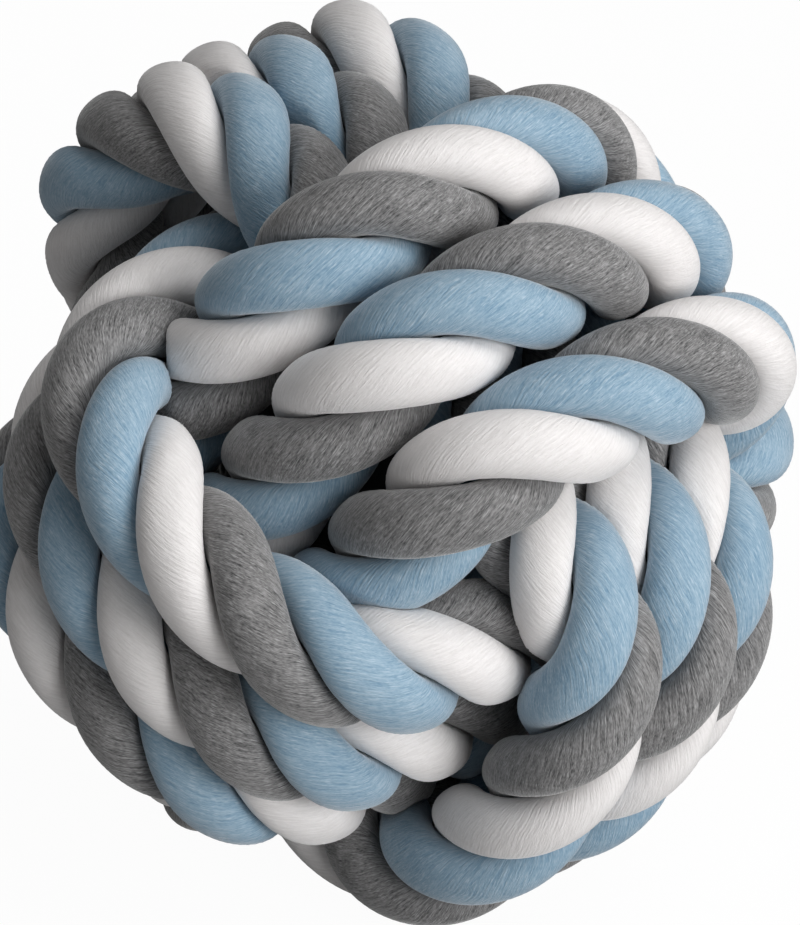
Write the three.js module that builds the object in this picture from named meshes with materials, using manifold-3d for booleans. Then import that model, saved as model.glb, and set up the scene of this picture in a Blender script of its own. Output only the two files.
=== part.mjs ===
// A rope ball for a dog, tied as a monkey's fist: one thick rope makes three windings of three turns,
// each winding square to the one before it, round a rubber ball. Millimetres, +Z up.
import * as THREE from "three";
import { mergeVertices } from "three/addons/utils/BufferGeometryUtils.js";
import Module from "manifold-3d";

const wasm = await Module();
wasm.setup();

// Sizes of the rope and of the room it needs
const ROPE_DIAMETER = 15; // where the turns press on each other
const ROPE_SWELL = 1.4; // how much thicker the rope is where nothing presses on it
const ROPE_SIDES = 8;
const STEP_LENGTH = 6; // along the rope, from one ring of the tube to the next
const PLACE_STEP = STEP_LENGTH / 3; // between the places where turns are tested against each other
const SAME_TURN = 2 * ROPE_DIAMETER; // places nearer than this along the rope are on one turn
const TURN_GAP = 1.2; // between the turns of one winding, which also cross it at a slant
const CROSSING_GAP = 1.5; // between a winding and the one that it passes under
const OUTER_GAP = 0.3; // between a winding and the one that it lies on
const PRESS_GAP = 1.2; // kept between the pressed sides of two turns
const LEAST_GAP = 0.4; // any smaller gap between turns is a fault
const JOIN_GAP = 0.3; // between two pieces that meet
const OUTER_CROWN = 2; // how far the middle turn stands above its neighbours outside
const INNER_CROWN = 1.3; // and where the winding passes under the next one
const WHIPPING_LENGTH = 8;
const FLAT_DEPTH = ROPE_DIAMETER / 10; // the rope is pressed this flat where the ball lies on it

// The ball lies tilted about X, on one turn of the first winding and on the bends of the third.
const REST_TILT = THREE.MathUtils.degToRad(39.6);

// How a winding turns in its plane: 0 is the outer face, 90 is where it dips under the next winding
const START_ANGLE = -229;
const JOIN_ANGLE = -174;
const LEAVE_ANGLES = [28.5, 48];
const END_ANGLE = 56;
const ANGLE_STEP = 5;
const QUARTER_TURN_STEPS = 10;
const LEAVE_HANDLES = [22.5, 26];
const JOIN_HANDLES = [16, 20];
const JOIN_LEAD = ROPE_DIAMETER / 3;

// What follows from those sizes
const TURN_PITCH = ROPE_DIAMETER + TURN_GAP;
const INNER_SIDE_REACH = TURN_PITCH + ROPE_DIAMETER + CROSSING_GAP;
const INNER_REACH = INNER_SIDE_REACH + INNER_CROWN;
const OUTER_REACH = Math.hypot(TURN_PITCH, INNER_SIDE_REACH) + ROPE_DIAMETER + OUTER_GAP;
const CORE_RADIUS = INNER_REACH - ROPE_DIAMETER / 2 - JOIN_GAP;

const ROPE_COLOUR = 0xa3a9ae; // blue, white and grey strands seen together
const WHIPPING_COLOUR = 0xd8d3cc;
const CORE_COLOUR = 0x2b2c2e;

// The knot's own axes: left and front face the viewer, right is the side towards the ground
const LEFT = new THREE.Vector3(-1, 0, 0);
const RIGHT = new THREE.Vector3(0, -Math.cos(REST_TILT), -Math.sin(REST_TILT));
const FRONT = new THREE.Vector3(0, -Math.sin(REST_TILT), Math.cos(REST_TILT));

// Each winding lies outside on its outer axis, dips under the next one on its inner axis, and has its
// three turns side by side on its stack axis. The slant is where it moves over from turn to turn.
// Squareness is that of the shoulders on the hidden and the seen side, and skew makes one shoulder rounder.
// Hands pulled the knot tight unevenly. For each half turn, from half a turn before the first outer pass:
// extra reach, shift to the side and slope to the side in mm, and lean in degrees.
const HALF_TURNS = 6;
const EVEN = [0, 0, 0, 0];
const WINDINGS = [
  {
    name: "first_winding",
    outer: FRONT,
    inner: LEFT,
    stack: RIGHT,
    slant: [42, 128],
    squareness: [9, 9],
    skew: [0, 1],
    halfTurns: [EVEN, [1, 3, 0.5, -0.5], EVEN, [0.5, 0.5, 0.5, 3.5], EVEN, [-1, -2.5, -0.5, 2.5]],
  },
  {
    name: "second_winding",
    outer: LEFT,
    inner: RIGHT,
    stack: FRONT,
    slant: [42, 138],
    squareness: [7, 8],
    skew: [0, -4],
    halfTurns: [
      [0, 0, -1, -2.5],
      [2.5, 1, -2.5, 2.5],
      [0, 0.5, 0, 0],
      [-0.5, -1, -0.5, -0.5],
      [-1.5, 1.5, 0, 0],
      [0, -0.5, -1, 2.5],
    ],
  },
  {
    name: "third_winding",
    outer: RIGHT,
    inner: FRONT,
    stack: LEFT,
    slant: [56, 140],
    squareness: [4.75, 9],
    skew: [1.5, 0],
    halfTurns: [
      [7.5, -3.5, -1.5, 0],
      [3, 1, 2.5, -5.5],
      [6, 0, -2.5, -2],
      [1.5, 0, 1, 1],
      [7.5, -2, -1.5, 4],
      [-0.5, 1.5, -1.5, 0.5],
    ],
  },
];

// A straight ramp from 0 to 1 with rounded ends
function roundedRamp(x) {
  const end = 0.22;
  const slope = 1 / (1 - end);
  const t = THREE.MathUtils.clamp(x, 0, 1);
  if (t < end) return (slope * t * t) / (2 * end);
  if (t > 1 - end) return 1 - (slope * (1 - t) * (1 - t)) / (2 * end);
  return slope * (t - end / 2);
}

// A value that belongs to half turns, blended smoothly from one to the next
function betweenHalfTurns(valueOf, degrees) {
  const at = THREE.MathUtils.clamp(degrees / 180 + 1, 0, HALF_TURNS - 1);
  const index = Math.min(Math.floor(at), HALF_TURNS - 2);
  const share = (1 - Math.cos(Math.PI * (at - index))) / 2;
  return THREE.MathUtils.lerp(valueOf(index), valueOf(index + 1), share);
}

// The middle of the rope in a winding, at an angle counted on from the middle of its first outer pass
function windingPoint(winding, degrees) {
  const angle = THREE.MathUtils.degToRad(degrees);
  const [from, to] = winding.slant;
  const movedOnce = roundedRamp((degrees - from) / (to - from));
  const movedTwice = roundedRamp((degrees - 360 - from) / (to - from));
  const place = 1 - movedOnce - movedTwice;
  const uneven = (which) => betweenHalfTurns((index) => winding.halfTurns[index][which], degrees);
  const [extra, shift, slope, lean] = [uneven(0), uneven(1), uneven(2), uneven(3)];
  const skew = betweenHalfTurns((index) => winding.skew[index % 2], degrees);
  const squareness = betweenHalfTurns((index) => winding.squareness[index % 2], degrees);
  const power = squareness + skew * Math.sin(2 * angle);
  const outerReach = OUTER_REACH + extra - OUTER_CROWN * place * place;
  const innerReach = INNER_REACH - INNER_CROWN * place * place;
  const outerTerm = outerReach ** -power;
  const innerTerm = (Math.abs(Math.sin(angle)) / innerReach) ** power;
  const reach = (outerTerm + innerTerm) ** (-1 / power);
  const leaning = angle + THREE.MathUtils.degToRad(lean) * Math.cos(angle) ** 2;
  return new THREE.Vector3()
    .addScaledVector(winding.outer, reach * Math.cos(leaning))
    .addScaledVector(winding.inner, -reach * Math.sin(leaning))
    .addScaledVector(winding.stack, TURN_PITCH * place + shift + slope * Math.sin(2 * angle));
}

function windingHeading(winding, degrees) {
  return windingPoint(winding, degrees + 0.5).sub(windingPoint(winding, degrees - 0.5)).normalize();
}

// Where two windings meet, each ends straight and square, a little short of the other
function straightenEnd(points, end, beside, inward) {
  points[end].addScaledVector(inward, JOIN_GAP / 2);
  points[beside].copy(points[end]).addScaledVector(inward, JOIN_LEAD);
}

// A winding's points, with the quarter turn that leads its last turn into the next winding
function windingRoute(index) {
  const winding = WINDINGS[index];
  const next = WINDINGS[index + 1];
  const from = index === 0 ? START_ANGLE : JOIN_ANGLE;
  const to = 720 + (next ? LEAVE_ANGLES[index] : END_ANGLE);
  const steps = Math.round((to - from) / ANGLE_STEP);
  const points = [];
  for (let i = 0; i <= steps; i++) points.push(windingPoint(winding, from + ((to - from) * i) / steps));
  if (index > 0) straightenEnd(points, 0, 1, windingHeading(winding, from));
  if (next) {
    const leave = points[points.length - 1];
    const join = windingPoint(next, JOIN_ANGLE);
    const arriving = windingHeading(next, JOIN_ANGLE);
    const quarterTurn = new THREE.CubicBezierCurve3(
      leave,
      leave.clone().addScaledVector(windingHeading(winding, to), LEAVE_HANDLES[index]),
      join.clone().addScaledVector(arriving, -JOIN_HANDLES[index]),
      join,
    );
    points.push(...quarterTurn.getPoints(QUARTER_TURN_STEPS).slice(1));
    straightenEnd(points, points.length - 1, points.length - 2, arriving.negate());
  }
  const route = new THREE.CatmullRomCurve3(points, false, "centripetal");
  route.arcLengthDivisions = points.length * 6;
  return route;
}

// A rope end is bound with twine for a short length, so that its strands stay together
function boundEnd(end, heading) {
  const near = end.clone().addScaledVector(heading, JOIN_GAP);
  const far = near.clone().addScaledVector(heading, WHIPPING_LENGTH);
  return [near, far];
}

// Rings of the tube along one stretch, each with its distance along the whole rope
function ringsOf(route, startsAt) {
  const length = route.getLength();
  const steps = Math.ceil(length / STEP_LENGTH);
  const { tangents, normals, binormals } = route.computeFrenetFrames(steps, false);
  return tangents.map((tangent, i) => ({
    middle: route.getPointAt(i / steps),
    at: startsAt + (length * i) / steps,
    tangent,
    normal: normals[i],
    binormal: binormals[i],
  }));
}

// The planes halfway to all turns near a ring, and the plane that lies on the core ball below it
function pressingPlanes(ring, places) {
  const reach = ROPE_DIAMETER + 2 * ROPE_SWELL;
  const planes = [];
  for (const place of places) {
    const apart = place.point.clone().sub(ring.middle);
    const distance = apart.length();
    if (distance > reach || Math.abs(place.at - ring.at) < SAME_TURN) continue;
    planes.push({ normal: apart.divideScalar(distance), distance: (distance - PRESS_GAP) / 2 });
  }
  const downwards = ring.middle.clone().normalize().negate();
  planes.push({ normal: downwards, distance: ring.middle.length() - CORE_RADIUS - JOIN_GAP });
  return planes;
}

// A point of the ring moves back, square to the rope, until it is behind every plane. Planes that lie
// nearly square to the rope are left to the rings beside this one.
const PRESS_ROUNDS = 3;
const LEAST_ACROSS = 0.25;
function pressBack(offset, planes, tangent) {
  for (let round = 0; round < PRESS_ROUNDS; round++) {
    for (const plane of planes) {
      const across = plane.normal.clone().addScaledVector(tangent, -plane.normal.dot(tangent));
      const depth = offset.dot(plane.normal) - plane.distance;
      if (depth <= 0 || across.lengthSq() < LEAST_ACROSS) continue;
      offset.addScaledVector(across, -depth / across.lengthSq());
    }
  }
}

function ringPoints(ring, places) {
  const planes = pressingPlanes(ring, places);
  const radius = (ROPE_DIAMETER + ROPE_SWELL) / 2;
  const points = [];
  for (let side = 0; side < ROPE_SIDES; side++) {
    const angle = (2 * Math.PI * (side + 0.5)) / ROPE_SIDES;
    const offset = new THREE.Vector3()
      .addScaledVector(ring.normal, radius * Math.cos(angle))
      .addScaledVector(ring.binormal, radius * Math.sin(angle));
    pressBack(offset, planes, ring.tangent);
    points.push(offset.add(ring.middle));
  }
  return points;
}

// A closed tube through rings of points
function tube(rings) {
  const triangles = [];
  for (let i = 0; i + 1 < rings.length; i++) {
    for (let side = 0; side < ROPE_SIDES; side++) {
      const here = i * ROPE_SIDES + side;
      const beside = i * ROPE_SIDES + ((side + 1) % ROPE_SIDES);
      triangles.push(here, beside, beside + ROPE_SIDES);
      triangles.push(here, beside + ROPE_SIDES, here + ROPE_SIDES);
    }
  }
  const lastRing = (rings.length - 1) * ROPE_SIDES;
  for (let side = 1; side + 1 < ROPE_SIDES; side++) {
    triangles.push(0, side + 1, side);
    triangles.push(lastRing, lastRing + side, lastRing + side + 1);
  }
  const geometry = new THREE.BufferGeometry().setFromPoints(rings.flat());
  geometry.setIndex(triangles);
  return geometry;
}

function solidOf(geometry) {
  return new wasm.Manifold(
    new wasm.Mesh({
      numProp: 3,
      vertProperties: geometry.attributes.position.array,
      triVerts: new Uint32Array(geometry.index.array),
    }),
  );
}

function geometryOf(solid) {
  const mesh = solid.getMesh();
  const geometry = new THREE.BufferGeometry();
  geometry.setAttribute("position", new THREE.BufferAttribute(mesh.vertProperties, 3));
  geometry.setIndex(new THREE.BufferAttribute(mesh.triVerts, 1));
  return geometry;
}

// Everything below the height is pressed away, which leaves flats on the rope
function pressFlat(geometry, height) {
  const depth = OUTER_REACH;
  const ground = new THREE.BoxGeometry(4 * OUTER_REACH, 4 * OUTER_REACH, depth);
  ground.translate(0, 0, height - depth / 2);
  ground.deleteAttribute("normal");
  ground.deleteAttribute("uv");
  return geometryOf(solidOf(geometry).subtract(solidOf(mergeVertices(ground, 1e-4))));
}

// The least gap between points of the rope's skin on turns that are not next to each other along it
function leastGap(skin) {
  let least = Infinity;
  skin.forEach((a, i) => {
    for (const b of skin.slice(i + 1)) {
      if (b.at - a.at > SAME_TURN) least = Math.min(least, a.point.distanceTo(b.point));
    }
  });
  return least;
}

function addPiece(group, name, geometry, colour, roughness) {
  geometry.computeVertexNormals();
  const material = new THREE.MeshStandardMaterial({ color: colour, roughness, metalness: 0 });
  const mesh = new THREE.Mesh(geometry, material);
  mesh.name = name;
  group.add(mesh);
}

// The stretches of the rope in their order along it, bound ends included
const routes = WINDINGS.map((winding, index) => windingRoute(index));
const [firstRoute, , lastRoute] = routes;
const [startNear, startFar] = boundEnd(firstRoute.getPoint(0), firstRoute.getTangentAt(0).negate());
const [endNear, endFar] = boundEnd(lastRoute.getPoint(1), lastRoute.getTangentAt(1));
const stretches = [
  { name: "start_whipping", route: new THREE.LineCurve3(startFar, startNear), colour: WHIPPING_COLOUR },
  ...WINDINGS.map(({ name }, index) => ({ name, route: routes[index], colour: ROPE_COLOUR })),
  { name: "end_whipping", route: new THREE.LineCurve3(endNear, endFar), colour: WHIPPING_COLOUR },
];

// Places all along the rope, each with its distance from the start
const places = [];
let travelled = 0;
for (const stretch of stretches) {
  const length = stretch.route.getLength();
  const count = Math.ceil(length / PLACE_STEP);
  stretch.startsAt = travelled;
  stretch.route.getSpacedPoints(count).forEach((point, i) => {
    places.push({ point, at: travelled + (length * i) / count });
  });
  travelled += length;
}

const skin = [];
for (const stretch of stretches) {
  const rings = ringsOf(stretch.route, stretch.startsAt);
  const points = rings.map((ring) => ringPoints(ring, places));
  rings.forEach((ring, i) => skin.push(...points[i].map((point) => ({ point, at: ring.at }))));
  stretch.geometry = tube(points);
}
const lowest = Math.min(...skin.map(({ point }) => point.z));
const groundHeight = lowest + FLAT_DEPTH;

const knot = new THREE.Group();
for (const { name, geometry, colour } of stretches) {
  geometry.computeBoundingBox();
  const touches = geometry.boundingBox.min.z < groundHeight;
  addPiece(knot, name, touches ? pressFlat(geometry, groundHeight) : geometry, colour, 0.9);
}
addPiece(knot, "core_ball", new THREE.SphereGeometry(CORE_RADIUS, 28, 18), CORE_COLOUR, 0.6);

// The origin is on the ground under the middle of the ball
const extent = new THREE.Box3().setFromObject(knot);
const middle = extent.getCenter(new THREE.Vector3());
knot.position.set(-middle.x, -middle.y, -groundHeight);

const gap = leastGap(skin);
console.log("least gap between turns", gap.toFixed(2), "mm, rope length", travelled.toFixed(0), "mm");
if (gap < LEAST_GAP) console.log("the turns are too close");

const part = new THREE.Group();
part.add(knot);
export default part;
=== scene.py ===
# %% [markdown]
# # A rope ball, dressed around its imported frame
#
# The real toy is one thick cotton rope, tied as a monkey's fist: three windings of three turns, each winding
# square to the one before. The rope is laid from three strands, one blue, one white and one mottled grey.
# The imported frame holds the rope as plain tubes. This lesson follows the same route and lays real strands
# on it.

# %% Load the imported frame
import math

import bpy
import numpy as np
from mathutils import Matrix, Vector


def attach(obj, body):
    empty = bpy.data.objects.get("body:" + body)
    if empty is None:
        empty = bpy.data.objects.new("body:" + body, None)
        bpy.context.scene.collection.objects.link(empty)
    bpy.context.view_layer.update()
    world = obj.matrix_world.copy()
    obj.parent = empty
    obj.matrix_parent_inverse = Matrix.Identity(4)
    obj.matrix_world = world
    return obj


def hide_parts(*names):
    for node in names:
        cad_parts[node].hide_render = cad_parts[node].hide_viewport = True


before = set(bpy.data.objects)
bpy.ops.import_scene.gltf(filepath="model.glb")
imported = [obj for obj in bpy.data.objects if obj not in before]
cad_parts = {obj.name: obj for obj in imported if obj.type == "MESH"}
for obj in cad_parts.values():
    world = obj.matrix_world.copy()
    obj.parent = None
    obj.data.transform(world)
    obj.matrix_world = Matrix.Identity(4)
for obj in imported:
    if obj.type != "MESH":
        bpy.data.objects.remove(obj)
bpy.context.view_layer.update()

MM = 0.001
bpy.ops.object.select_all(action="DESELECT")
print("nodes of the frame:", sorted(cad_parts))

# %% [markdown]
# ## The camera
#
# The picture was taken from above one corner of the knot. A camera could be aimed with a Track To constraint,
# but three plain angles are easier to read and to change. The lens follows from the scale at the middle of
# the ball: the sensor spans the longer side of the picture.

# %% Place the camera
PICTURE_WIDTH, PICTURE_HEIGHT = 800, 925
PIXELS_PER_MM = 7.0
KNOT_IN_PICTURE = (389, 471)
CAMERA_AZIMUTH = math.radians(-45.7)
CAMERA_ELEVATION = math.radians(25)
CAMERA_ROLL = math.radians(-1.7)
CAMERA_DISTANCE = 0.61
SENSOR = 36
KNOT_MIDDLE = Vector((0, -0.0006, 0.0562))

backwards = Vector((
    math.cos(CAMERA_ELEVATION) * math.sin(CAMERA_AZIMUTH),
    -math.cos(CAMERA_ELEVATION) * math.cos(CAMERA_AZIMUTH),
    math.sin(CAMERA_ELEVATION),
))
level = Vector((math.cos(CAMERA_AZIMUTH), math.sin(CAMERA_AZIMUTH), 0))
upright = backwards.cross(level)
rightwards = level * math.cos(CAMERA_ROLL) + upright * math.sin(CAMERA_ROLL)
upwards = backwards.cross(rightwards)

off_right = (KNOT_IN_PICTURE[0] - PICTURE_WIDTH / 2) / PIXELS_PER_MM * MM
off_down = (KNOT_IN_PICTURE[1] - PICTURE_HEIGHT / 2) / PIXELS_PER_MM * MM
eye = KNOT_MIDDLE + backwards * CAMERA_DISTANCE - rightwards * off_right + upwards * off_down
turn = Matrix((rightwards, upwards, backwards)).transposed()

bpy.ops.object.camera_add(location=eye, rotation=turn.to_euler())
camera = bpy.context.object
camera.name = "camera"
camera.data.sensor_width = SENSOR
camera.data.lens = SENSOR * PIXELS_PER_MM / MM * CAMERA_DISTANCE / PICTURE_HEIGHT
bpy.context.scene.camera = camera
print("camera at", [round(value, 3) for value in eye], "lens", round(camera.data.lens, 1))

# %% [markdown]
# ## The stage
#
# The toy lies on a plain floor under soft studio light: a large lamp above and to the right, two smaller ones
# lower down on the right and at the front right, and an even pale surround. To the camera the floor is nearly
# white and keeps a faint shadow. For all other rays it is a plain grey floor, which sends soft light up under
# the ball.

# %% Helpers for nodes
def math_node(tree, operation, first_input, second_input=0.0):
    node = tree.nodes.new("ShaderNodeMath")
    node.operation = operation
    for socket, value in zip(node.inputs, (first_input, second_input)):
        if isinstance(value, (int, float)):
            socket.default_value = value
        else:
            tree.links.new(value, socket)
    return node.outputs[0]


def seen_directly(tree):
    path = tree.nodes.new("ShaderNodeLightPath")
    seen = math_node(tree, "MAXIMUM", path.outputs["Is Camera Ray"], path.outputs["Is Glossy Ray"])
    return math_node(tree, "MAXIMUM", seen, path.outputs["Is Transmission Ray"])


print("helpers for nodes are ready")

# %% Make the floor
FLOOR_SIZE = 6
FLOOR_GREY = 0.5
SHADOW_SHARE = 0.08
WHITE_LEVEL = 1.05

bpy.ops.mesh.primitive_plane_add(size=FLOOR_SIZE)
floor = bpy.context.object
floor.name = "floor"
floor_paint = bpy.data.materials.new("pale_floor")
floor_paint.use_nodes = True
tree = floor_paint.node_tree
nodes, links = tree.nodes, tree.links
nodes.clear()
white_share = math_node(tree, "MULTIPLY", seen_directly(tree), 1 - SHADOW_SHARE)
matt = nodes.new("ShaderNodeBsdfDiffuse")
matt.inputs["Color"].default_value = (FLOOR_GREY, FLOOR_GREY, FLOOR_GREY, 1)
white = nodes.new("ShaderNodeEmission")
white.inputs["Strength"].default_value = WHITE_LEVEL
both = nodes.new("ShaderNodeMixShader")
output = nodes.new("ShaderNodeOutputMaterial")
links.new(white_share, both.inputs["Fac"])
links.new(matt.outputs[0], both.inputs[1])
links.new(white.outputs[0], both.inputs[2])
links.new(both.outputs[0], output.inputs["Surface"])
floor.data.materials.append(floor_paint)
print("floor", FLOOR_SIZE, "m across")

# %% Light the stage
def add_softbox(name, direction, distance, size, watts):
    place = KNOT_MIDDLE + direction.normalized() * distance
    bpy.ops.object.light_add(type="AREA", location=place)
    lamp = bpy.context.object
    lamp.name = name
    lamp.rotation_euler = direction.to_track_quat("Z", "Y").to_euler()
    lamp.data.size = size
    lamp.data.energy = watts


# Each softbox: name, direction from the knot, distance and size in metres, and watts.
SOFTBOXES = [
    ("key_softbox", upwards * 1.1 + rightwards * 0.6 + backwards * 0.75, 1.2, 0.9, 6.5),
    ("right_softbox", rightwards * 1.0 + backwards * 0.9 - upwards * 0.1, 1.3, 0.7, 9),
    ("front_softbox", backwards * 1.0 + rightwards * 0.6 - upwards * 0.2, 1.3, 0.6, 4.3),
]
for softbox in SOFTBOXES:
    add_softbox(*softbox)

world = bpy.data.worlds.new("pale_surround")
bpy.context.scene.world = world
world.use_nodes = True
nodes, links = world.node_tree.nodes, world.node_tree.links
nodes.clear()
SURROUND_LIGHT = 0.2
level_mix = nodes.new("ShaderNodeMix")
level_mix.inputs["A"].default_value = SURROUND_LIGHT
level_mix.inputs["B"].default_value = 1
surround = nodes.new("ShaderNodeBackground")
output = nodes.new("ShaderNodeOutputWorld")
links.new(seen_directly(world.node_tree), level_mix.inputs["Factor"])
links.new(level_mix.outputs["Result"], surround.inputs["Strength"])
links.new(surround.outputs[0], output.inputs["Surface"])
bpy.context.scene.view_settings.view_transform = "Standard"
print(len(SOFTBOXES), "softboxes and a pale surround")

# %% [markdown]
# ## The rope's route
#
# A monkey's fist is regular: every winding goes round the ball a little more than two and a half times, lies
# outside on one pair of sides and dips under the next winding on the other pair. A route could be drawn by
# hand as a curve. Here it is calculated in millimetres, as in the frame: an angle runs on from turn to turn,
# and the rope's place follows from it. Hands pulled the real knot tight unevenly, so each half turn has its
# own distance from the middle and its own sideways shift.

# %% The knot's own axes and its half turns
REST_TILT = math.radians(39.6)
LEFT = np.array((-1, 0, 0))
RIGHT = np.array((0, -math.cos(REST_TILT), -math.sin(REST_TILT)))
FRONT = np.array((0, -math.sin(REST_TILT), math.cos(REST_TILT)))

# A half turn: extra reach, shift to the side and slope to the side in mm, lean in degrees, and how far the
# blue strand is turned from straight out in degrees. None is where the rope is hidden and just goes on
# twisting.
EVEN = (0, 0, 0, 0, None)
WINDINGS = [
    {"name": "first_winding", "outer": FRONT, "inner": LEFT, "stack": RIGHT, "slant": (42, 128),
     "squareness": (9, 9), "skew": (0, 1),
     "half_turns": [EVEN, (1, 3, 0.5, -0.5, 52), EVEN, (0.5, 0.5, 0.5, 3.5, 178),
                    EVEN, (-1, -2.5, -0.5, 2.5, 304)]},
    {"name": "second_winding", "outer": LEFT, "inner": RIGHT, "stack": FRONT, "slant": (42, 138),
     "squareness": (7, 8), "skew": (0, -4),
     "half_turns": [(0, 0, -1, -2.5, 202), (2.5, 1, -2.5, 2.5, 298), (0, 0.5, 0, 0, None),
                    (-0.5, -1, -0.5, -0.5, 310), (-1.5, 1.5, 0, 0, None), (0, -0.5, -1, 2.5, 235)]},
    {"name": "third_winding", "outer": RIGHT, "inner": FRONT, "stack": LEFT, "slant": (56, 140),
     "squareness": (4.75, 9), "skew": (1.5, 0),
     "half_turns": [(7.5, -3.5, -1.5, 0, 95), (3, 1, 2.5, -5.5, 276), (6, 0, -2.5, -2, 80),
                    (1.5, 0, 1, 1, 325), (7.5, -2, -1.5, 4, 68), (-0.5, 1.5, -1.5, 0.5, 264)]},
]
FIRST_HALF_TURN = -180
print("half turns:", sum(len(winding["half_turns"]) for winding in WINDINGS))

# %% A point of a winding
TURN_PITCH = 16.2
OUTER_REACH = 51.8
INNER_REACH = 34
INNER_CROWN = 1.3
OUTER_CROWN = 2
HEADING_STEP = 0.5  # degrees


def rounded_ramp(x):
    end = 0.22
    slope = 1 / (1 - end)
    t = np.clip(x, 0, 1)
    start_part = slope * t * t / (2 * end)
    end_part = 1 - slope * (1 - t) ** 2 / (2 * end)
    return np.where(t < end, start_part, np.where(t > 1 - end, end_part, slope * (t - end / 2)))


def between_half_turns(values, degrees):
    values = np.asarray(values, float)
    place = np.clip((degrees - FIRST_HALF_TURN) / 180, 0, len(values) - 1 - 1e-9)
    index = place.astype(int)
    share = (1 - np.cos(np.pi * (place - index))) / 2
    return values[index].T * (1 - share) + values[index + 1].T * share


def winding_points(winding, degrees):
    degrees = np.atleast_1d(np.asarray(degrees, float))
    angle = np.radians(degrees)
    begin, end = winding["slant"]
    width = end - begin
    moved = rounded_ramp((degrees - begin) / width) + rounded_ramp((degrees - 360 - begin) / width)
    place = 1 - moved
    turns = winding["half_turns"]
    extra, shift, slope, lean = between_half_turns([turn[:4] for turn in turns], degrees)
    power = between_half_turns(np.resize(winding["squareness"], len(turns)), degrees)
    power += between_half_turns(np.resize(winding["skew"], len(turns)), degrees) * np.sin(2 * angle)
    outer = OUTER_REACH + extra - OUTER_CROWN * place**2
    inner = INNER_REACH - INNER_CROWN * place**2
    reach = (outer**-power + (np.abs(np.sin(angle)) / inner) ** power) ** (-1 / power)
    leaning = angle + np.radians(lean) * np.cos(angle) ** 2
    sideways = TURN_PITCH * place + shift + slope * np.sin(2 * angle)
    along_outer = np.outer(reach * np.cos(leaning), winding["outer"])
    along_inner = np.outer(reach * np.sin(leaning), winding["inner"])
    return along_outer - along_inner + np.outer(sideways, winding["stack"])


def winding_heading(winding, degrees):
    before, after = winding_points(winding, [degrees - HEADING_STEP, degrees + HEADING_STEP])
    return (after - before) / np.linalg.norm(after - before)


print("first point:", winding_points(WINDINGS[0], 0)[0].round(1))

# %% The whole route, with the quarter turns between the windings and the bound ends
START_ANGLE, END_ANGLE = -229, 776
JOIN_ANGLE = -174
LEAVE_ANGLES = (748.5, 768)
LEAVE_HANDLES = (22.5, 26)
JOIN_HANDLES = (16, 20)
BOUND_LENGTH = 8.3
QUARTER_TURN_STEPS = 80
FINE = 0.5  # degrees on a winding and mm on a straight end


def quarter_turn(winding, leave_angle, following, leave_handle, join_handle):
    leave = winding_points(winding, leave_angle)[0]
    join = winding_points(following, JOIN_ANGLE)[0]
    ahead = leave + winding_heading(winding, leave_angle) * leave_handle
    behind = join - winding_heading(following, JOIN_ANGLE) * join_handle
    t = np.linspace(0, 1, QUARTER_TURN_STEPS)[1:-1, None]
    return (1 - t) ** 3 * leave + 3 * (1 - t) ** 2 * t * ahead + 3 * (1 - t) * t * t * behind + t**3 * join


def straight_end(winding, angle, way):
    heading = winding_heading(winding, angle) * way
    lengths = np.arange(FINE, BOUND_LENGTH + FINE / 2, FINE)
    return winding_points(winding, angle) + np.outer(lengths, heading)


def travelled(points):
    return np.concatenate(([0], np.cumsum(np.linalg.norm(np.diff(points, axis=0), axis=1))))


first, second, third = WINDINGS
stretches = [
    [straight_end(first, START_ANGLE, -1)[::-1],
     winding_points(first, np.arange(START_ANGLE, LEAVE_ANGLES[0] + FINE, FINE)),
     quarter_turn(first, LEAVE_ANGLES[0], second, LEAVE_HANDLES[0], JOIN_HANDLES[0])],
    [winding_points(second, np.arange(JOIN_ANGLE, LEAVE_ANGLES[1] + FINE, FINE)),
     quarter_turn(second, LEAVE_ANGLES[1], third, LEAVE_HANDLES[1], JOIN_HANDLES[1])],
    [winding_points(third, np.arange(JOIN_ANGLE, END_ANGLE + FINE, FINE)),
     straight_end(third, END_ANGLE, 1)],
]
route = np.concatenate([part for stretch in stretches for part in stretch])
route_length = travelled(route)
counts = [sum(len(part) for part in stretch) for stretch in stretches]
second_start, third_start = counts[0], counts[0] + counts[1]
winding_ends = [route_length[0], route_length[second_start], route_length[third_start], route_length[-1]]
print("rope", round(route_length[-1]), "mm, windings end at", np.round(winding_ends))

# %% [markdown]
# ## The lay of the rope
#
# Every strand winds round the rope's middle line. To twist evenly, the rope first needs a frame that is
# carried along without turning, and then a twist on top of it. A curve object's tilt could do this, but the
# colours have to come up on each turn as they do on the real toy, so the twist is set on the visible half
# turns.

# %% Rings along the rope and the frame that they carry
RING_STEP = 0.75
ring_count = int(route_length[-1] / RING_STEP) + 1
ring_at = np.linspace(0, route_length[-1], ring_count)
ring_middle = np.stack([np.interp(ring_at, route_length, route[:, axis]) for axis in range(3)], axis=1)
ring_heading = np.gradient(ring_middle, axis=0)
ring_heading /= np.linalg.norm(ring_heading, axis=1)[:, None]

ring_side = np.zeros_like(ring_middle)
ring_side[0] = np.cross(ring_heading[0], FRONT)
for i in range(ring_count):
    carried = ring_side[max(i - 1, 0)]
    carried = carried - ring_heading[i] * (carried @ ring_heading[i])
    ring_side[i] = carried / np.linalg.norm(carried)
ring_cross = np.cross(ring_heading, ring_side)
print("rings:", ring_count)

# %% The twist along the rope
LAY_LENGTH = 42
TWIST = 2 * np.pi / LAY_LENGTH


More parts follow.
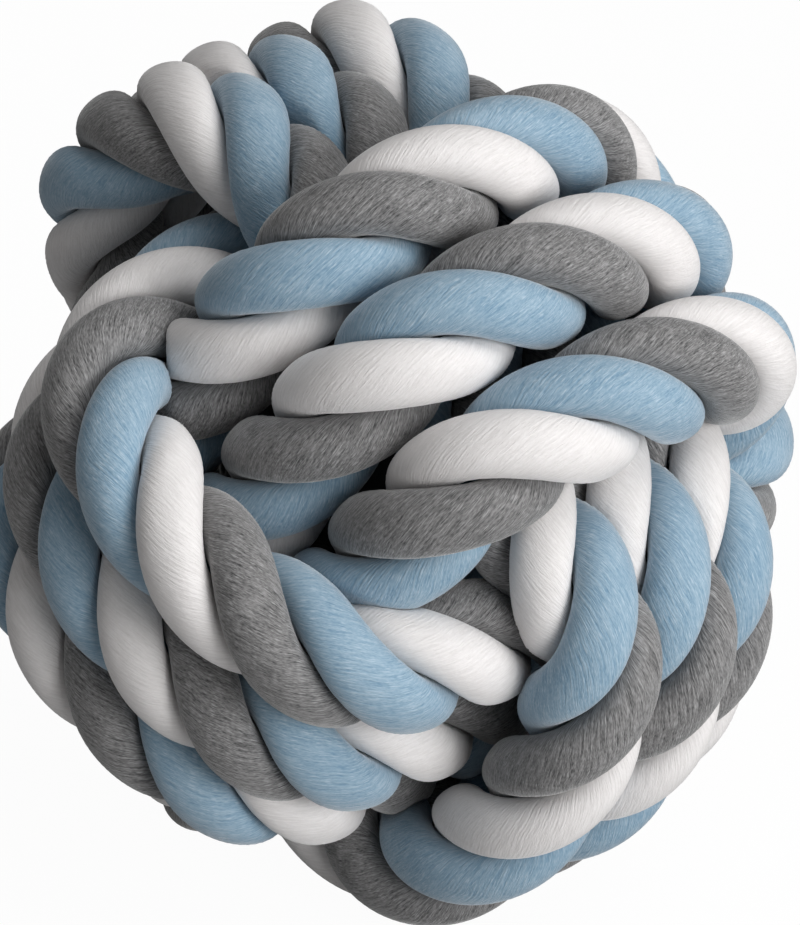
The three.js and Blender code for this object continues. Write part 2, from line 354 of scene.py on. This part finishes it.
def middle_of_half_turn(winding, number):
    place = winding_points(winding, FIRST_HALF_TURN + 180 * number)[0]
    start, end = winding_ends[WINDINGS.index(winding)], winding_ends[WINDINGS.index(winding) + 1]
    inside = (ring_at >= start) & (ring_at <= end)
    away = np.where(inside, np.linalg.norm(ring_middle - place, axis=1), np.inf)
    return int(np.argmin(away))


def outward_angle(ring):
    return math.atan2(ring_middle[ring] @ ring_cross[ring], ring_middle[ring] @ ring_side[ring])


key_at, key_twist = [], []
for winding in WINDINGS:
    for number, (*_, blue_angle) in enumerate(winding["half_turns"]):
        if blue_angle is None:
            continue
        ring = middle_of_half_turn(winding, number)
        twist = outward_angle(ring) + math.radians(blue_angle)
        if key_at:
            expected = key_twist[-1] + TWIST * (ring_at[ring] - key_at[-1])
            twist += 2 * np.pi * round((expected - twist) / (2 * np.pi))
        key_at.append(ring_at[ring])
        key_twist.append(twist)
lead_in, lead_out = key_at[0] + 1, route_length[-1] - key_at[-1] + 1
key_twist = np.array([key_twist[0] - TWIST * lead_in, *key_twist, key_twist[-1] + TWIST * lead_out])
key_at = np.array([key_at[0] - lead_in, *key_at, key_at[-1] + lead_out])

before = np.clip(np.searchsorted(key_at, ring_at) - 1, 0, len(key_at) - 2)
span = key_at[before + 1] - key_at[before]
t = (ring_at - key_at[before]) / span
blue_turn = ((2 * t**3 - 3 * t**2 + 1) * key_twist[before] + (3 * t**2 - 2 * t**3) * key_twist[before + 1]
             + (t**3 - 2 * t**2 + t + t**3 - t**2) * span * TWIST)
print("turns of the lay:", round((blue_turn[-1] - blue_turn[0]) / (2 * np.pi), 1))

# %% [markdown]
# ## A strand
#
# In a tight rope the three strands press each other flat, so a strand's section is not a circle. It is a
# rounded third of the rope: an oval, cut off where it meets its two neighbours. A curve with a bevel could
# carry it, but could not press it. So the points are calculated, and the section is swept along the rope with
# the twist. Where two turns of the rope touch, both give way: on that side the whole rope is drawn in towards
# its middle, until it lies behind the plane halfway between the turns. So no strand cuts into another. The
# core ball and the floor press the rope flat too, and the twine round its two ends squeezes it thinner there.

# %% The section of a strand
STRAND_SIDES = 36
STRAND_MIDDLE = 4.75
STRAND_THICKNESS = 4.4
STRAND_WIDTH = 5.5
NEIGHBOUR_GAP = 0.05
CORNER_SHARPNESS = 9


def strand_section():
    # The first point is the innermost, so that the seam of the yarns is hidden inside the rope.
    angle = np.pi + np.linspace(0, 2 * np.pi, STRAND_SIDES, endpoint=False)
    away = (np.cos(angle) / STRAND_THICKNESS) ** 2 + (np.sin(angle) / STRAND_WIDTH) ** 2
    inverse = away ** (CORNER_SHARPNESS / 2)
    wall = math.radians(60)
    for side in (1, -1):
        towards = -math.sin(wall) * np.cos(angle) + side * math.cos(wall) * np.sin(angle)
        towards = np.maximum(towards, 0)
        inverse += (towards / (STRAND_MIDDLE * math.sin(wall) - NEIGHBOUR_GAP)) ** CORNER_SHARPNESS
    distance = inverse ** (-1 / CORNER_SHARPNESS)
    return STRAND_MIDDLE + distance * np.cos(angle), distance * np.sin(angle)


section_out, section_across = strand_section()
section_edge = np.hypot(np.diff(section_out, append=section_out[0]),
                        np.diff(section_across, append=section_across[0]))
around_share = np.concatenate(([0], np.cumsum(section_edge))) / section_edge.sum()

# The rim is the outside of the rope, in the direction in which each point of the section lies.
section_angle = np.arctan2(section_across, section_out)
section_radius = np.hypot(section_out, section_across)
outside = np.arange(np.argmin(section_angle), np.argmax(section_angle) + 1)
rim_radius = np.interp(section_angle, section_angle[outside], section_radius[outside])
rim_out, rim_across = rim_radius * np.cos(section_angle), rim_radius * np.sin(section_angle)
print("round a strand:", round(section_edge.sum(), 1), "mm")
print("rope:", round(2 * section_out.max(), 1), "mm thick over its strands")

# %% Neighbouring turns that press on a ring
CONTACT_REACH = 19.5
SAME_TURN = 30
CONTACTS = 80
press_room = np.full((ring_count, CONTACTS), CONTACT_REACH)
press_normal = np.zeros((ring_count, CONTACTS, 3))
for i in range(ring_count):
    apart = ring_middle - ring_middle[i]
    distance = np.linalg.norm(apart, axis=1)
    other = np.flatnonzero((distance < CONTACT_REACH) & (np.abs(ring_at - ring_at[i]) > SAME_TURN))
    nearest = other[np.argsort(distance[other])][:CONTACTS]
    press_room[i, :len(nearest)] = distance[nearest] / 2
    press_normal[i, :len(nearest)] = apart[nearest] / distance[nearest, None]
print("rings that touch another turn:", int((np.abs(press_normal).sum(axis=(1, 2)) > 0).sum()))

# %% How the twine squeezes the ends
BOUND_SHARE = 0.7
SQUEEZE_LENGTH = 6
from_end = np.minimum(ring_at, route_length[-1] - ring_at)
loose = np.clip((from_end - BOUND_LENGTH) / SQUEEZE_LENGTH, 0, 1)
squeeze = BOUND_SHARE + (1 - BOUND_SHARE) * loose * loose * (3 - 2 * loose)
print("rings under the twine:", int((loose == 0).sum()))

# %% The points of a strand
TOUCH_GAP = 0.1
CORE_RADIUS = 25.9
SEAM_HEIGHT = 0.3


def strand_points(rings, turned):
    angle = blue_turn[rings] + turned
    out = np.cos(angle)[:, None] * ring_side[rings] + np.sin(angle)[:, None] * ring_cross[rings]
    across = np.cross(ring_heading[rings], out)
    out, across = out * squeeze[rings, None], across * squeeze[rings, None]
    drawn_in = np.ones((len(rings), STRAND_SIDES))
    for contact in range(CONTACTS):
        normal = press_normal[rings, contact]
        reach = np.outer((out * normal).sum(axis=1), rim_out)
        reach += np.outer((across * normal).sum(axis=1), rim_across)
        room = press_room[rings, contact][:, None] - TOUCH_GAP / 2
        drawn_in = np.minimum(drawn_in, room / np.maximum(reach, room))
    offsets = section_out[None, :, None] * out[:, None] + section_across[None, :, None] * across[:, None]
    points = ring_middle[rings][:, None] + offsets * drawn_in[:, :, None]
    from_middle = np.linalg.norm(points, axis=2)[:, :, None]
    points *= np.maximum((CORE_RADIUS + SEAM_HEIGHT + TOUCH_GAP) / from_middle, 1)
    points = points * MM + np.array(KNOT_MIDDLE)
    points[:, :, 2] = np.maximum(points[:, :, 2], 0)
    return points


print("strands keep", TOUCH_GAP, "mm apart where turns touch")

# %% The mesh of a strand
def strand_object(name, rings, turned, finish):
    points = strand_points(rings, turned)
    count, sides = points.shape[:2]
    grid = np.arange(count * sides).reshape(count, sides)
    ahead, round_next = grid[1:], np.roll(grid, -1, axis=1)
    quads = np.stack([grid[:-1], round_next[:-1], round_next[1:], ahead], axis=2).reshape(-1, 4)
    # The two caps are fans with points of their own, so that the strand's side stays smooth up to its ends.
    cap_rings = grid.size + np.arange(2 * sides).reshape(2, sides)
    cap_next = np.roll(cap_rings, -1, axis=1)
    cap_middle = np.full(sides, grid.size + 2 * sides)
    back_cap = np.stack([cap_next[0], cap_rings[0], cap_middle], axis=1)
    front_cap = np.stack([cap_rings[1], cap_next[1], cap_middle + 1], axis=1)
    ends = points[[0, -1]]
    vertices = np.concatenate([points.reshape(-1, 3), ends.reshape(-1, 3), ends.mean(axis=1)])
    mesh = bpy.data.meshes.new(name)
    mesh.from_pydata(vertices.tolist(), [], quads.tolist() + back_cap.tolist() + front_cap.tolist())

    lay_slope = np.hypot(1, TWIST * STRAND_MIDDLE)
    along = ring_at[rings] * lay_slope * MM
    low, high = along[:-1, None], along[1:, None]
    left, right = around_share[None, :-1], around_share[None, 1:]
    corners = np.zeros((count - 1, sides, 4, 2))
    for corner, (length, share) in enumerate(((low, left), (low, right), (high, right), (high, left))):
        corners[:, :, corner, 0] = length
        corners[:, :, corner, 1] = share
    caps = np.full((2, sides, 3, 2), 0.5)
    caps[0, :, :, 0] = along[0]
    caps[1, :, :, 0] = along[-1]
    caps[0, :, :2, 1] = np.stack([around_share[1:], around_share[:-1]], axis=1)
    caps[1, :, :2, 1] = np.stack([around_share[:-1], around_share[1:]], axis=1)
    yarn_map = mesh.uv_layers.new(name="yarn_map")
    yarn_map.data.foreach_set("uv", np.concatenate([corners.reshape(-1, 2), caps.reshape(-1, 2)]).ravel())
    mesh.polygons.foreach_set("use_smooth", [True] * len(quads) + [False] * (2 * sides))
    mesh.materials.append(finish)
    piece = bpy.data.objects.new(name, mesh)
    bpy.context.scene.collection.objects.link(piece)
    return piece


print("a strand has", STRAND_SIDES, "sides")

# %% [markdown]
# ## Cotton yarn
#
# Each strand is a soft roll of many thin cotton yarns. Up close they show as fine slanting lines, with paler
# and darker fibres in them. An image could carry this, but a node group is sharper and follows the strand: it
# reads the strand's own map, which holds the length along it and the share round it.

# %% The yarn group
YARN_ANGLE = math.radians(52)
STRAND_ROUND = float(section_edge.sum())

# Each layer of fine lines: size across and along the yarns in mm, place in the noise, and detail.
LINE_LAYERS = {
    "Yarns": (0.2, 6.0, 3.0, 1.0),
    "Fibres": (0.09, 1.0, 7.0, 1.0),
    "Flecks": (0.08, 2.4, 11.0, 0.0),
}
# Two slow layers, with sizes along and round the strand: yarns wander by WANDER mm, and colours drift.
WANDER = 0.7
WANDER_LAYER = (12.0, 10.0, 0.0, 1.0)
DRIFT_LAYER = (14.0, 10.0, 15.0, 2.0)

yarns = bpy.data.node_groups.new("cotton_yarns", "ShaderNodeTree")
yarns.interface.new_socket("Map", in_out="INPUT", socket_type="NodeSocketVector")
for socket_name in (*LINE_LAYERS, "Drift"):
    yarns.interface.new_socket(socket_name, in_out="OUTPUT", socket_type="NodeSocketFloat")
group_in = yarns.nodes.new("NodeGroupInput")
group_out = yarns.nodes.new("NodeGroupOutput")
split = yarns.nodes.new("ShaderNodeSeparateXYZ")
yarns.links.new(group_in.outputs["Map"], split.inputs[0])


def times(value, factor):
    return math_node(yarns, "MULTIPLY", value, factor)


def plus(first_value, second_value):
    return math_node(yarns, "ADD", first_value, second_value)


def noise_over(first_place, second_place, first_size, second_size, layer, detail):
    place = yarns.nodes.new("ShaderNodeCombineXYZ")
    yarns.links.new(times(first_place, 1 / first_size), place.inputs[0])
    yarns.links.new(times(second_place, 1 / second_size), place.inputs[1])
    place.inputs[2].default_value = layer
    noise = yarns.nodes.new("ShaderNodeTexNoise")
    noise.inputs["Scale"].default_value = 1
    noise.inputs["Detail"].default_value = detail
    yarns.links.new(place.outputs[0], noise.inputs["Vector"])
    return noise.outputs["Fac"]


along = times(split.outputs["X"], 1 / MM)
around = times(split.outputs["Y"], STRAND_ROUND)
wander = noise_over(along, around, *WANDER_LAYER)
straight_across = plus(times(along, math.sin(YARN_ANGLE)), times(around, math.cos(YARN_ANGLE)))
across_yarns = plus(straight_across, times(wander, WANDER))
with_yarns = plus(times(along, math.cos(YARN_ANGLE)), times(around, -math.sin(YARN_ANGLE)))
for socket_name, line_layer in LINE_LAYERS.items():
    yarns.links.new(noise_over(across_yarns, with_yarns, *line_layer), group_out.inputs[socket_name])
yarns.links.new(noise_over(along, around, *DRIFT_LAYER), group_out.inputs["Drift"])
print("yarn group with", len(yarns.nodes), "nodes")

# %% Cotton in three colours
# A Mix node has one set of sockets for each kind of value. These are its colour sockets.
MIX_COLOUR_A, MIX_COLOUR_B, MIX_COLOUR_RESULT = 6, 7, 2
FLECK_RANGE = (0.6, 0.74)
YARN_DEPTH = 0.2


def weighed(tree, group, shares):
    total = 0.0
    for output_name, share in shares.items():
        total = math_node(tree, "ADD", math_node(tree, "MULTIPLY", group.outputs[output_name], share), total)
    return total


def cotton(name, dark, pale, fleck, shares, contrast, fleck_share):
    paint = bpy.data.materials.new(name)
    paint.use_nodes = True
    tree = paint.node_tree
    shader = tree.nodes["Principled BSDF"]
    shader.inputs["Roughness"].default_value = 0.9
    shader.inputs["Specular IOR Level"].default_value = 0.2
    shader.inputs["Sheen Weight"].default_value = 0.55
    shader.inputs["Sheen Roughness"].default_value = 0.4
    own_map = tree.nodes.new("ShaderNodeUVMap")
    own_map.uv_map = "yarn_map"
    group = tree.nodes.new("ShaderNodeGroup")
    group.node_tree = yarns
    tree.links.new(own_map.outputs[0], group.inputs["Map"])
    spread = tree.nodes.new("ShaderNodeMapRange")
    spread.inputs["From Min"].default_value = 0.5 - 0.5 / contrast
    spread.inputs["From Max"].default_value = 0.5 + 0.5 / contrast
    tree.links.new(weighed(tree, group, shares), spread.inputs["Value"])
    colours = tree.nodes.new("ShaderNodeMix")
    colours.data_type = "RGBA"
    colours.inputs[MIX_COLOUR_A].default_value = (*dark, 1)
    colours.inputs[MIX_COLOUR_B].default_value = (*pale, 1)
    tree.links.new(spread.outputs["Result"], colours.inputs["Factor"])
    lifted = tree.nodes.new("ShaderNodeMapRange")
    lifted.inputs["From Min"].default_value = FLECK_RANGE[0]
    lifted.inputs["From Max"].default_value = FLECK_RANGE[1]
    lifted.inputs["To Max"].default_value = fleck_share
    tree.links.new(group.outputs["Flecks"], lifted.inputs["Value"])
    flecked = tree.nodes.new("ShaderNodeMix")
    flecked.data_type = "RGBA"
    flecked.inputs[MIX_COLOUR_B].default_value = (*fleck, 1)
    tree.links.new(lifted.outputs["Result"], flecked.inputs["Factor"])
    tree.links.new(colours.outputs[MIX_COLOUR_RESULT], flecked.inputs[MIX_COLOUR_A])
    tree.links.new(flecked.outputs[MIX_COLOUR_RESULT], shader.inputs["Base Color"])
    bump = tree.nodes.new("ShaderNodeBump")
    bump.inputs["Strength"].default_value = 0.6
    bump.inputs["Distance"].default_value = YARN_DEPTH * MM
    tree.links.new(weighed(tree, group, {"Yarns": 1.0, "Fibres": 0.5}), bump.inputs["Height"])
    tree.links.new(bump.outputs[0], shader.inputs["Normal"])
    return paint


blue_cotton = cotton("blue_cotton", (0.115, 0.24, 0.36), (0.41, 0.53, 0.62), (0.60, 0.70, 0.77),
                     {"Yarns": 0.45, "Fibres": 0.35, "Drift": 0.2}, 2.2, 0.35)
white_cotton = cotton("white_cotton", (0.68, 0.655, 0.645), (0.89, 0.865, 0.86), (0.90, 0.885, 0.88),
                      {"Yarns": 0.55, "Fibres": 0.25, "Drift": 0.2}, 1.9, 0.3)
grey_cotton = cotton("grey_cotton", (0.05, 0.05, 0.051), (0.33, 0.325, 0.325), (0.5, 0.5, 0.5),
                     {"Yarns": 0.45, "Fibres": 0.45, "Drift": 0.1}, 2.8, 0.45)
print("cotton in blue, white and grey")

# %% Lay the strands
STRANDS = [
    ("blue", 0, blue_cotton),
    ("white", 120, white_cotton),
    ("grey", 240, grey_cotton),
]
meeting_rings = np.searchsorted(ring_at, winding_ends)
for winding, begin_ring, end_ring in zip(WINDINGS, meeting_rings, meeting_rings[1:]):
    rings = np.arange(begin_ring, end_ring + 1)
    for colour, turned, finish in STRANDS:
        piece = strand_object(f"{winding['name']}_{colour}_strand", rings, math.radians(turned), finish)
        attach(piece, "root")
        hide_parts(winding["name"])
        print(piece.name, len(piece.data.polygons), "faces")

# %% [markdown]
# ## The core ball
#
# A ball inside the knot keeps it round. It hardly shows, only as a dark shape between the turns. Its colour
# is nearly black, which paints deep shade into the gaps between the turns. It could be a bare sphere, but a
# moulded rubber ball has a fine dimpled skin and a seam where the halves of its mould met. An ico sphere has
# even faces, so each one is inset to make a dimple, and a thin torus makes the seam.

# %% Mould the core ball
DIMPLE_EDGE = 0.7
DIMPLE_DEPTH = 0.4
SEAM_THICKNESS = 0.5

bpy.ops.object.select_all(action="DESELECT")
bpy.ops.mesh.primitive_torus_add(
    location=KNOT_MIDDLE, major_radius=(CORE_RADIUS + SEAM_HEIGHT - SEAM_THICKNESS) * MM,
    minor_radius=SEAM_THICKNESS * MM, major_segments=96, minor_segments=10)
seam = bpy.context.object
bpy.ops.mesh.primitive_ico_sphere_add(subdivisions=4, radius=CORE_RADIUS * MM, location=KNOT_MIDDLE)
core = bpy.context.object
core.name = "core_ball_dimpled"
bpy.ops.object.mode_set(mode="EDIT")
bpy.ops.mesh.select_all(action="SELECT")
bpy.ops.mesh.inset(thickness=DIMPLE_EDGE * MM, depth=-DIMPLE_DEPTH * MM, use_individual=True)
bpy.ops.object.mode_set(mode="OBJECT")
seam.select_set(True)
bpy.ops.object.join()
bpy.ops.object.transform_apply(location=True, rotation=True, scale=True)
bpy.ops.object.shade_smooth()
soft_skin = core.modifiers.new("soft_skin", "SUBSURF")
soft_skin.levels = 1
soft_skin.render_levels = 1
print("core ball", len(core.data.polygons), "faces before it is smoothed")

# %% Rubber for the core ball
rubber = bpy.data.materials.new("core_rubber")
rubber.use_nodes = True
tree = rubber.node_tree
place = tree.nodes.new("ShaderNodeTexCoord")
grain = tree.nodes.new("ShaderNodeTexNoise")
grain.inputs["Scale"].default_value = 900
grain.inputs["Detail"].default_value = 3
tree.links.new(place.outputs["Object"], grain.inputs["Vector"])
# Two nearly black colours: painted shade for the gaps between the turns, with a fine grain across the ball.
shade = tree.nodes.new("ShaderNodeMix")
shade.data_type = "RGBA"
shade.inputs[MIX_COLOUR_A].default_value = (0.014, 0.014, 0.016, 1)
shade.inputs[MIX_COLOUR_B].default_value = (0.032, 0.032, 0.035, 1)
tree.links.new(grain.outputs["Fac"], shade.inputs["Factor"])
shader = tree.nodes["Principled BSDF"]
tree.links.new(shade.outputs[MIX_COLOUR_RESULT], shader.inputs["Base Color"])
roughness = math_node(tree, "ADD", math_node(tree, "MULTIPLY", grain.outputs["Fac"], 0.2), 0.5)
tree.links.new(roughness, shader.inputs["Roughness"])
core.data.materials.clear()
core.data.materials.append(rubber)
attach(core, "root")
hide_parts("core_ball")
print("dark rubber for", core.name)

# %% [markdown]
# ## The whippings
#
# A laid rope comes apart at a bare end, so thin twine is wound tightly round both ends. The coils lie nearly
# hidden inside the knot. Each could be drawn as a curve. A Screw modifier makes it from one small circle,
# which it carries round and along.

# %% Twine
twine = bpy.data.materials.new("whipping_twine")
twine.use_nodes = True
tree = twine.node_tree
place = tree.nodes.new("ShaderNodeTexCoord")
plies = tree.nodes.new("ShaderNodeTexWave")
plies.bands_direction = "DIAGONAL"
plies.inputs["Scale"].default_value = 700
plies.inputs["Distortion"].default_value = 2
tree.links.new(place.outputs["Object"], plies.inputs["Vector"])
shade = tree.nodes.new("ShaderNodeMix")
shade.data_type = "RGBA"
shade.inputs[MIX_COLOUR_A].default_value = (0.50, 0.47, 0.42, 1)
shade.inputs[MIX_COLOUR_B].default_value = (0.74, 0.71, 0.66, 1)
tree.links.new(plies.outputs["Fac"], shade.inputs["Factor"])
shader = tree.nodes["Principled BSDF"]
shader.inputs["Roughness"].default_value = 0.85
tree.links.new(shade.outputs[MIX_COLOUR_RESULT], shader.inputs["Base Color"])
print("pale waxed twine")

# %% Wind the twine round both ends
TWINE_THICKNESS = 1.1
TWINE_TURNS = 7
TWINE_STEPS = 40
TWINE_BITE = 0.15
COIL_RADIUS = BOUND_SHARE * section_out.max() + TWINE_THICKNESS / 2 - TWINE_BITE


def whipping(name, node, end, heading):
    bpy.ops.object.select_all(action="DESELECT")
    bpy.ops.mesh.primitive_circle_add(
        vertices=10, radius=TWINE_THICKNESS / 2 * MM,
        location=(COIL_RADIUS * MM, 0, 0), rotation=(math.pi / 2, 0, 0))
    coil = bpy.context.object
    coil.name = name
    bpy.ops.object.transform_apply(location=True, rotation=True)
    turns = coil.modifiers.new("turns", "SCREW")
    turns.screw_offset = TWINE_THICKNESS * MM
    turns.iterations = TWINE_TURNS
    turns.steps = TWINE_STEPS
    turns.render_steps = TWINE_STEPS
    turns.use_merge_vertices = True
    bpy.ops.object.modifier_apply(modifier=turns.name)
    bpy.ops.object.mode_set(mode="EDIT")
    bpy.ops.mesh.select_all(action="SELECT")
    bpy.ops.mesh.fill_holes(sides=0)
    bpy.ops.mesh.normals_make_consistent(inside=False)
    bpy.ops.object.mode_set(mode="OBJECT")
    coil.location = Vector(end) * MM + KNOT_MIDDLE
    coil.rotation_euler = Vector(heading).to_track_quat("Z", "Y").to_euler()
    bpy.ops.object.transform_apply(location=True, rotation=True)
    bpy.ops.object.shade_smooth()
    coil.data.materials.append(twine)
    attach(coil, "root")
    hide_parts(node)
    print(name, len(coil.data.polygons), "faces")


whipping("start_whipping_coil", "start_whipping", ring_middle[0], ring_heading[0])
whipping("end_whipping_coil", "end_whipping", ring_middle[-1], -ring_heading[-1])
